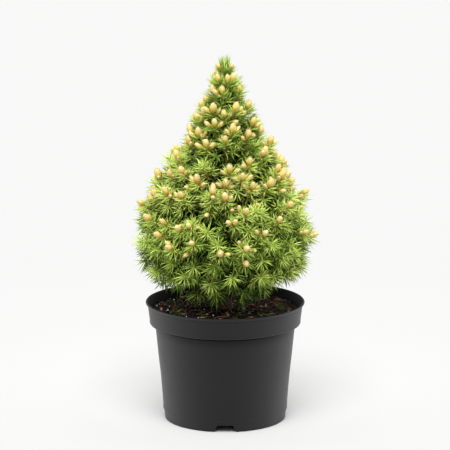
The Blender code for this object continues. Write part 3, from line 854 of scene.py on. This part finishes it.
def main_path(cell, shoot):
    """A main shoot's twig, from its bough's end or from the trunk."""
    tip, way, _ = shoot
    if cell.tier == LEADER:
        return curve(trunk_centre(TRUNK_TIP - LEADER_ROOT), UP, tip, way, steps=12)
    if cell.tier < BOUGHED_TIERS:
        outward = around(cell.turn, 1.0, 0.0)
        start = bough_line(cell)[1] - outward * SHOOT_ROOT
        return curve(start, unit(outward + unit(tip - start)), tip, way, SHOOT_STEPS, SHOOT_BOW)
    rise = math.radians(between(RISE, tip[2]) - FLATTER)
    height = tip[2] - math.hypot(tip[0], tip[1]) * math.tan(rise) * FALL_SHARE
    start = trunk_centre(min(max(height, TRUNK_FOOT + LOWEST_ROOT), TRUNK_TIP - HIGHEST_ROOT))
    towards = unit(tip - start)
    first_way = unit(np.array((towards[0], towards[1], 0.35)))
    return curve(start, first_way, tip, way, SHOOT_STEPS, SHOOT_BOW)


def side_sprig(parent, back, angle, turn, reach, tone, bud, tip_count, length=1.0):
    """A side shoot of a twig, at an angle to it, which bends towards the parent's way."""
    place, way = parent.at(np.array(back))
    out = unit(way * math.cos(angle) + swung(*frames_along(way[None]), turn) * math.sin(angle))
    end_way = unit(out + way * 0.35 + UP * 0.12)
    end = place + unit(out * 0.75 + end_way * 0.25) * reach
    path = curve(place, out, end, end_way, steps=7)
    return Sprig(path, (0.00085, 0.0006), tone, reach * 0.95, bud, length, tip_count)


def grow(cell, shoot):
    """The sprigs of one main shoot: itself, its side shoots near the tip, and older ones inside."""
    rng = cell.rng
    height = shoot.tip[2]
    tone = between(OUTER_TONES, height) + rng.uniform(-SHOOT_STRAY, SHOOT_STRAY)
    if cell.tier == 0 and height < SKIRT_LOW:
        if rng.random() < SKIRT_BARE:
            return []
        path = main_path(cell, shoot)
        # painted shade: the lowest shoots take the darkest greens
        tone += SKIRT_LOW_TONE
        return [Sprig(path, (0.0012, 0.0007), tone, needled=0.022, length=0.78, tip_count=14)]
    if cell.tier == 0:
        # painted shade: the skirt takes darker greens
        tone += SKIRT_TONE
        if rng.random() < SKIRT_OPEN * abs(math.cos(cell.turn)):
            return []
    bud = rng.uniform(0.88, 1.12) * between(BUD_SIZES, height) if shoot.has_bud else 0.0
    slight = between(SLIGHT, height)
    main = Sprig(main_path(cell, shoot), (0.0015, 0.0008), tone, NEEDLED_LENGTH, bud, slight)
    if cell.tier == LEADER:
        main.brush = not shoot.has_bud
        main.length = 0.98 if main.brush else 0.80
        main.needled = 0.026 if main.brush else 0.016
        main.tip_count = 84 if main.brush else 22
        return [main]
    forks = bud_fork(main, tone, rng) if shoot.has_bud else []
    return [main, *forks, *side_sprigs(main, shoot, tone, slight, rng), *inner_sprigs(main, cell)]


def side_sprigs(main, shoot, tone, slight, rng):
    """Side shoots near the tip of a main shoot, longer and older the further back they grow."""
    sprigs = []
    # painted shade: side shoots take darker greens than their main shoot
    tone -= between(SIDE_SHADE, shoot.tip[2])
    first = rng.uniform(0, math.pi)
    for number, (back, reach) in enumerate(zip(SIDE_BACKS, SIDE_REACHES)):
        back += rng.uniform(-0.001, 0.002)
        if back > main.reach() * 0.8:
            break
        turn = first + number * math.pi * 0.8 + rng.uniform(-0.3, 0.3)
        reach = reach * rng.uniform(0.85, 1.15) * (0.75 + 0.25 * slight)
        has_bud = shoot.has_bud and rng.random() < between(SIDE_BUDS, shoot.tip[2])
        bud = rng.uniform(0.62, 0.85) if has_bud else 0.0
        angle = rng.uniform(0.65, 0.95)
        # painted shade, partly age: darker greens for each side shoot further back
        shaded = tone - 0.45 * number
        length = 0.9 * slight
        sprigs.append(side_sprig(main, back, angle, turn, reach, shaded, bud, tip_count=14, length=length))
    return sprigs


def inner_sprigs(main, cell):
    """Older side shoots further in, which have no buds."""
    rng = cell.rng
    sprigs = []
    count = INNER_SPRIGS[cell.tier]
    if main.reach() > LONG_SHOOT and cell.tier < FIRST_STEEP_TIER:
        count += 1
    for number in range(count):
        back = INNER_BACK + INNER_PITCH * number + rng.uniform(-0.002, 0.002)
        if back > main.reach() * 0.85:
            break
        turn = rng.uniform(0, math.tau)
        reach = rng.uniform(0.013, 0.019)
        angle = rng.uniform(0.7, 1.2)
        # painted shade, partly older needles: dark greens, darker the further in
        tone = 1.6 - 0.3 * number
        sprigs.append(side_sprig(main, back, angle, turn, reach, tone, bud=0.0, tip_count=12))
    return sprigs


def bud_fork(main, tone, rng):
    """Stubs on both sides of the bud at a shoot's end, each with a slimmer bud of its own."""
    stubs = []
    way = main.direction()
    flat = unit(np.cross(way, UP))
    side_way, up_way = frames_along(way[None])
    level = math.atan2(float(flat @ up_way[0]), float(flat @ side_way[0])) + rng.uniform(-0.4, 0.4)
    for turn in (level, level + math.pi):
        if rng.random() > between(FORKED, main.path[-1][2]):
            continue
        back = rng.uniform(0.0014, 0.0038)
        angle = rng.uniform(0.82, 1.20)
        reach = rng.uniform(0.0030, 0.0046)
        bud = rng.uniform(0.74, 0.98) * between(BUD_SIZES, main.path[-1][2])
        stub = side_sprig(main, back, angle, turn, reach, tone, bud, tip_count=7, length=0.75)
        stub.slim = rng.uniform(0.72, 0.88)
        stubs.append(stub)
    return stubs


def inside_sprigs(cell):
    """Old sprigs that fill a mass behind its shoots."""
    rng = cell.rng
    sprigs = []
    for _ in range(INSIDE_SPRIGS[cell.tier]):
        height = rng.uniform(cell.low, cell.high)
        angle = cell.turn + cell.half * rng.uniform(-1, 1)
        radius = (crown_radius(height) - 0.012) * rng.uniform(0.50, 0.84)
        rise = math.radians(between(RISE, height) + rng.uniform(-25, 25))
        direction = pointed(angle + rng.uniform(-0.6, 0.6), rise)
        tip = around(angle, radius, height)
        lowest, highest = TRUNK_FOOT + 0.015, TRUNK_TIP - HIGHEST_ROOT
        start = trunk_centre(min(max(height - 0.5 * radius, lowest), highest))
        path = curve(start, unit(tip - start), tip, direction, steps=10)
        # painted shade, partly older needles: dark greens deep in the mass
        tone = rng.uniform(*INSIDE_TONES)
        sprigs.append(Sprig(path, (0.0011, 0.0007), tone, needled=0.028, length=1.05, tip_count=16))
    return sprigs


def make_crown():
    greens = surfaces("needle_")
    shapes = [bud_shape(k, np.random.default_rng(20 + k)) for k in range(len(BUD_OUTLINES))]
    twigs, buds = Batch(), Batch()
    for tier, (name, count, *_) in enumerate(TIERS):
        foliage = Batch()
        cells = [Cell(tier, index) for index in range(count)]
        for cell in cells:
            sprigs = [sprig for shoot in shoots_of(cell) for sprig in grow(cell, shoot)]
            for sprig in sprigs + inside_sprigs(cell):
                dress(sprig, cell.rng, foliage)
                grow_twig(sprig, twigs)
                if sprig.bud:
                    add_bud(buds, shapes[cell.rng.integers(len(shapes))], sprig, cell.rng)
        piece = foliage.make(f"{name}_needles", greens)
        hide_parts(*[cell.name for cell in cells])
    twigs.make("twigs", surfaces("twig_"))
    buds.make("buds", surfaces("bud_"), smooth=False)


# ---- trunk and boughs


def bark_limb(batch, path, radii, sides, seed, relief):
    """A limb whose bark is raised in flakes."""
    points, polygons = tube(path, radii, sides)
    middle = np.repeat(path, sides, axis=0)
    for k in range(len(middle)):
        place = Vector(points[k]) + Vector((seed, 0, 0))
        flakes = noise.noise(Vector((place.x, place.y, place.z * FLAKE_STRETCH)) * FLAKES)
        points[k] += (points[k] - middle[k]) * flakes * relief
    batch.add(points, polygons, (0, 0))


def make_trunk(bark):
    batch = Batch()
    shares = np.linspace(0, 1, TRUNK_STEPS) ** TRUNK_CROWDING
    heights = TRUNK_FOOT + (TRUNK_TIP - TRUNK_FOOT) * shares
    path = np.array([trunk_centre(height) for height in heights])
    path[0, 2] = TRUNK_FOOT - TRUNK_SINK
    radii = np.array([trunk_radius(height) for height in heights])
    bark_limb(batch, path, radii, sides=28, seed=0.0, relief=0.16)
    piece = batch.make("trunk_bark", [bark])
    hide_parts("trunk")


def make_boughs(bark):
    batch = Batch()
    cells = [Cell(tier, index) for tier in range(BOUGHED_TIERS) for index in range(TIERS[tier][1])]
    for cell in cells:
        start, end = bough_line(cell)
        outward = around(cell.turn, 1.0, 0.0)
        path = curve(start, outward, end, outward, BOUGH_STEPS, lift=0.3)
        path[:, 2] -= BOUGH_SAG * np.sin(np.linspace(0, math.pi, BOUGH_STEPS))
        radii = np.linspace(*BOUGH_RADII[cell.tier], BOUGH_STEPS)
        bark_limb(batch, path, radii, sides=12, seed=0.05 * cell.index, relief=0.22)
    piece = batch.make("bough_bark", [bark])
    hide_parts(*[cell.bough_name for cell in cells])


# ---- pot


def notch_cutter():
    """Prisms that taper upwards, one for each drain notch."""
    bm = bmesh.new()
    top = NOTCH_TOP_WIDTH / 2
    widening = (NOTCH_FOOT_WIDTH - NOTCH_TOP_WIDTH) / 2 / NOTCH_HEIGHT
    below = -0.0010
    foot = NOTCH_FOOT_WIDTH / 2 - widening * below
    half = ((foot, below), (top, NOTCH_HEIGHT - NOTCH_CORNER), (top - NOTCH_CORNER, NOTCH_HEIGHT))
    outline = [(-foot, below), *half, *[(-x, z) for x, z in half[:0:-1]]]
    for k in range(NOTCHES):
        turn = Matrix.Rotation(math.tau * k / NOTCHES, 3, "Z")
        ends = []
        for reach in NOTCH_ENDS:
            ends.append([bm.verts.new(turn @ Vector((x, -reach, z))) for x, z in outline])
        bm.faces.new(ends[0])
        bm.faces.new(ends[1])
        for j in range(len(outline)):
            after = (j + 1) % len(outline)
            bm.faces.new((ends[0][j], ends[0][after], ends[1][after], ends[1][j]))
    bmesh.ops.recalc_face_normals(bm, faces=bm.faces)
    return add_shape("notch_cutter", bm)


def turned_pot():
    """The pot's outline turned round Z, without its notches."""
    bm = bmesh.new()
    profile = (*POT_UNDERSIDE, *POT_WALL, *POT_BAND, *POT_RIM, *POT_INSIDE)
    points = [bm.verts.new((radius, 0.0, height)) for radius, height in profile]
    edges = [bm.edges.new(pair) for pair in zip(points, points[1:])]
    round_z = {"cent": (0, 0, 0), "axis": (0, 0, 1), "angle": math.tau}
    bmesh.ops.spin(bm, geom=points + edges, steps=POT_STEPS, use_merge=True, **round_z)
    bmesh.ops.remove_doubles(bm, verts=bm.verts, dist=1e-6)
    bmesh.ops.recalc_face_normals(bm, faces=bm.faces)
    return add_shape("nursery_pot", bm)


def unlit(face):
    """Whether a face of the pot takes the painted shade: inside it, on its lip's crest, where it dulls the
    highlight, or in and over its notches.
    """
    x, y, z = face.center
    inside = z < RIM_FOOT and face.normal.x * x + face.normal.y * y < 0
    within = math.hypot(x, y) < FOOT_RING_OUTSIDE
    beneath = z < NOTCH_HEIGHT + 0.0001 and (within or face.normal.z < -0.5)
    return z > LIP_CREST or beneath or inside


def make_pot():
    pot = turned_pot()
    cutter = notch_cutter()
    cut = pot.modifiers.new("drain_notches", "BOOLEAN")
    cut.operation = "DIFFERENCE"
    cut.object = cutter
    cut.solver = "EXACT"
    bpy.context.view_layer.update()
    graph = bpy.context.evaluated_depsgraph_get()
    finished = bpy.data.meshes.new_from_object(pot.evaluated_get(graph))
    pot.modifiers.clear()
    pot.data = finished
    bpy.data.objects.remove(cutter)
    finished.shade_smooth()
    finished.set_sharp_from_angle(angle=math.radians(POT_CREASE))
    finished.materials.clear()
    finished.materials.append(pot_plastic())
    finished.materials.append(surface("pot_inside"))
    # painted shade on the faces that unlit() picks
    for face in finished.polygons:
        face.material_index = 1 if unlit(face) else 0
    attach(pot, BODY)
    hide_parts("pot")


# ---- potting mix


def soil_height(x, y):
    """The lumpy top of the mix, which is level round the trunk."""
    radius = math.hypot(x, y)
    rise = 1 - (radius / SOIL_RADIUS) ** 2
    place = Vector((x, y, 0.0))
    lumps = sum(noise.noise(place * often) * height for often, height in SOIL_LUMPS)
    calm = min(max((radius - SOIL_LEVEL) / SOIL_LEVEL, 0.0), 1.0)
    return SOIL_HEIGHT + SOIL_MOUND * rise + (lumps - SOIL_LOWER) * calm


def make_soil():
    rings = [(SOIL_HOLE, None)]
    rings += [(SOIL_RADIUS * (ring / SOIL_RINGS), None) for ring in range(1, SOIL_RINGS + 1)]
    rings += [*SOIL_WALL, (SOIL_HOLE, SOIL_WALL[-1][1])]
    points = []
    for radius, height in rings:
        for k in range(SOIL_STEPS):
            x, y, _ = around(math.tau * k / SOIL_STEPS, radius, 0.0)
            points.append((x, y, soil_height(x, y) if height is None else height))
    quads = ring_quads(len(rings), SOIL_STEPS)[:, ::-1]
    fan = np.array([(0, k, k + 1) for k in range(1, SOIL_STEPS - 1)])
    caps = np.concatenate((fan, len(points) - 1 - fan))
    batch = Batch()
    batch.add(np.array(points), (quads, caps), (0, 0))
    piece = batch.make("potting_mix_top", [surface("potting_mix")])
    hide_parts("potting_mix")


def scattered(rng, radii):
    """A place on the mix between two radii."""
    least, most = radii
    radius = math.sqrt(rng.uniform(least**2, most**2))
    x, y, _ = around(rng.uniform(0, math.tau), radius, 0.0)
    return np.array((x, y, soil_height(x, y)))


def leaning_frame(rng, tilt):
    """Three unit vectors square to each other, the last within a tilt of upright."""
    turn = rng.uniform(0, math.tau)
    lean = rng.uniform(0, tilt)
    up = around(turn, math.sin(lean), math.cos(lean))
    first = unit(np.cross(up, around(rng.uniform(0, math.tau), 1.0, 0.0)))
    return first, np.cross(up, first), up


def make_chips(rng):
    batch = Batch()
    sides = 6
    turns = np.arange(sides) * math.tau / sides
    faces = (ring_quads(2, sides), np.array((range(sides, 2 * sides), range(sides)[::-1])))
    for _ in range(CHIPS):
        place = scattered(rng, CHIP_RADII)
        along, across, up = leaning_frame(rng, 0.6)
        long = rng.uniform(0.0016, 0.0052)
        wide = rng.uniform(0.0010, 0.0024)
        thick = rng.uniform(0.0003, 0.0009)
        swell = rng.uniform(0.7, 1.15, sides)
        ring = np.cos(turns)[:, None] * along * long + np.sin(turns)[:, None] * across * wide
        ring *= swell[:, None]
        curl = np.cos(turns)[:, None] ** 2 * up * rng.uniform(-0.0004, 0.0009)
        top = place + ring * rng.uniform(0.8, 1.0) + up * thick + curl
        low = place + ring - up * thick + curl
        tone = rng.choice(len(CHIP_MIX), p=CHIP_MIX)
        batch.add(np.concatenate((low, top)), faces, (tone, tone))
    batch.make("bark_chips", surfaces("chip_"), smooth=False)


def make_perlite(rng):
    bm = bmesh.new()
    bmesh.ops.create_icosphere(bm, subdivisions=1, radius=1.0)
    ball = np.array([vert.co[:] for vert in bm.verts])
    faces = np.array([[vert.index for vert in face.verts] for face in bm.faces])
    bm.free()
    batch = Batch()
    for _ in range(PERLITE):
        place = scattered(rng, PERLITE_RADII)
        size = rng.uniform(0.0004, 0.0011)
        dents = rng.uniform(0.7, 1.15, (len(ball), 1))
        points = ball * dents * rng.uniform(0.7, 1.1, 3)
        batch.add(place + points * size + UP * size * 0.5, (faces,), (0,))
    batch.make("perlite", surfaces("perlite"))


def make_fibres(rng):
    batch = Batch()
    t = np.linspace(-0.5, 0.5, FIBRE_STEPS)[:, None]
    for _ in range(FIBRES):
        place = scattered(rng, FIBRE_RADII)
        along, across, up = leaning_frame(rng, 0.25)
        long = rng.uniform(0.004, 0.013)
        bow = rng.uniform(-0.003, 0.003)
        arch = 0.0010 - 0.0022 * t**2
        path = place + along * long * t + across * bow * (4 * t**2) + up * arch
        radius = rng.uniform(0.00012, 0.00030)
        points, polygons = tube(path, np.full(FIBRE_STEPS, radius), 3)
        tone = rng.integers(2)
        batch.add(points, polygons, (tone, tone))
    batch.make("fibres", surfaces("fibre_"))


def make_moss(rng):
    batch = Batch()
    for centre in [scattered(rng, MOSS_RADII) for _ in range(MOSS_TUFTS)]:
        count = int(rng.uniform(30, 80))
        spread = rng.uniform(0.0015, 0.0042)
        offsets = rng.normal(0, spread, (count, 2))
        bases = np.column_stack((centre[:2] + offsets, np.zeros(count)))
        bases = bases[np.hypot(bases[:, 0], bases[:, 1]) < MOSS_LIMIT]
        bases[:, 2] = [soil_height(x, y) for x, y, _ in bases]
        count = len(bases)
        ways = unit_rows(rng.normal(0, 0.55, (count, 3)) + UP)
        lengths = rng.uniform(0.0009, 0.0022, count)
        widths = rng.uniform(0.00018, 0.00034, count)
        bends = rng.normal(0, 0.12, (count, 3))
        batch.add(*needles(bases, ways, lengths, widths, bends), (0, 0))
    batch.make("moss", surfaces("moss"))


# ---- studio

# Camera: far off and a little above, with a long lens.
CAMERA_PLACE = (-0.00019, -2.5, 0.7231)
CAMERA_PITCH = 11.55

# Painted light and shade on the floor, by distance: lighter near the pot, which lifts the shadow at its
# foot, and greyer further off.
FLOOR_SHADES = ((0.10, 0.404), (0.16, 0.374), (0.25, 0.359), (0.38, 0.347), (0.70, 0.337))  # by distance
FLOOR_TINT = (1.0, 1.0, 0.996)
FLOOR_CENTRE = (0.0, 0.04, 0.0)



def floor_with_painted_light():
    """Matt white, with painted light near the pot, which lifts the shadow at its foot, and painted shade
    that makes it a little greyer far from the pot.
    """
    material = surface("studio_floor")
    tree = material.node_tree
    place = tree.nodes["Texture Coordinate"].outputs["Object"]
    span = {0: place, 1: FLOOR_CENTRE}
    distance = add_node(tree, "VectorMath", span, operation="DISTANCE")
    shades = add_node(tree, "ValToRGB", {"Fac": distance.outputs["Value"]})
    ramp = shades.color_ramp
    while len(ramp.elements) < len(FLOOR_SHADES):
        ramp.elements.new(0.5)
    for element, (reach, shade) in zip(ramp.elements, FLOOR_SHADES):
        element.position = reach
        element.color = (*[shade * tint for tint in FLOOR_TINT], 1.0)
    set_inputs(tree, tree.nodes["Principled BSDF"], {"Base Color": shades.outputs["Color"]})
    return material


def make_floor():
    bm = bmesh.new()
    bmesh.ops.create_grid(bm, x_segments=24, y_segments=24, size=9.0)
    floor = add_shape("studio_floor", bm)
    floor.data.materials.append(floor_with_painted_light())
    floor.location.z = -0.0004


def make_world():
    """Soft white light from all round: least from the camera's side, most from behind and above."""
    world = bpy.data.worlds.new("studio")
    bpy.context.scene.world = world
    world.use_nodes = True
    tree = world.node_tree
    place = add_node(tree, "TexCoord").outputs["Generated"]
    split = add_node(tree, "SeparateXYZ", {"Vector": place}).outputs
    level_light = add_range(tree, split["Y"], (-0.97, -0.05), (0.36, 2.62))
    upper_light = 1.6
    rise = add_range(tree, split["Z"], (0.15, 0.65), (0.0, 1.0))
    light = add_node(tree, "Mix", {"Factor": rise, "A": level_light, "B": upper_light}).outputs["Result"]
    set_inputs(tree, tree.nodes["Background"], {"Color": (1.0, 1.0, 1.0, 1.0), "Strength": light})


def make_sun():
    light = bpy.data.lights.new("overhead", "SUN")
    light.energy = 4.10
    light.angle = math.radians(40)
    add_object("overhead", light).rotation_euler = [math.radians(tilt) for tilt in (30, -1.5, 0)]


def make_camera():
    data = bpy.data.cameras.new("camera")
    data.lens = 189.6
    data.sensor_width = 36.0
    data.clip_end = 50.0
    camera = add_object("camera", data)
    camera.location = CAMERA_PLACE
    camera.rotation_euler = (math.radians(90 - CAMERA_PITCH), 0.0, 0.0)
    bpy.context.scene.camera = camera


def corners(box):
    return [list(corner) for corner in box]


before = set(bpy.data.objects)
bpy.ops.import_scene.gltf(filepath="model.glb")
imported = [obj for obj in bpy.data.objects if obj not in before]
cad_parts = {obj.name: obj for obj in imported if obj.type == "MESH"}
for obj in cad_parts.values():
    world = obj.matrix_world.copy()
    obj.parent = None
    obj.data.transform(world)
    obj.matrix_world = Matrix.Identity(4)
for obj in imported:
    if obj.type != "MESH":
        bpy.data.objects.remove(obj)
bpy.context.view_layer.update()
make_camera()
make_pot()
make_soil()
make_chips(np.random.default_rng(11))
make_perlite(np.random.default_rng(12))
make_fibres(np.random.default_rng(13))
make_moss(np.random.default_rng(14))
old_bark = surface("old_bark")
make_trunk(old_bark)
make_boughs(old_bark)
make_crown()
make_floor()
make_world()
make_sun()
bpy.context.scene.view_settings.view_transform = "Standard"
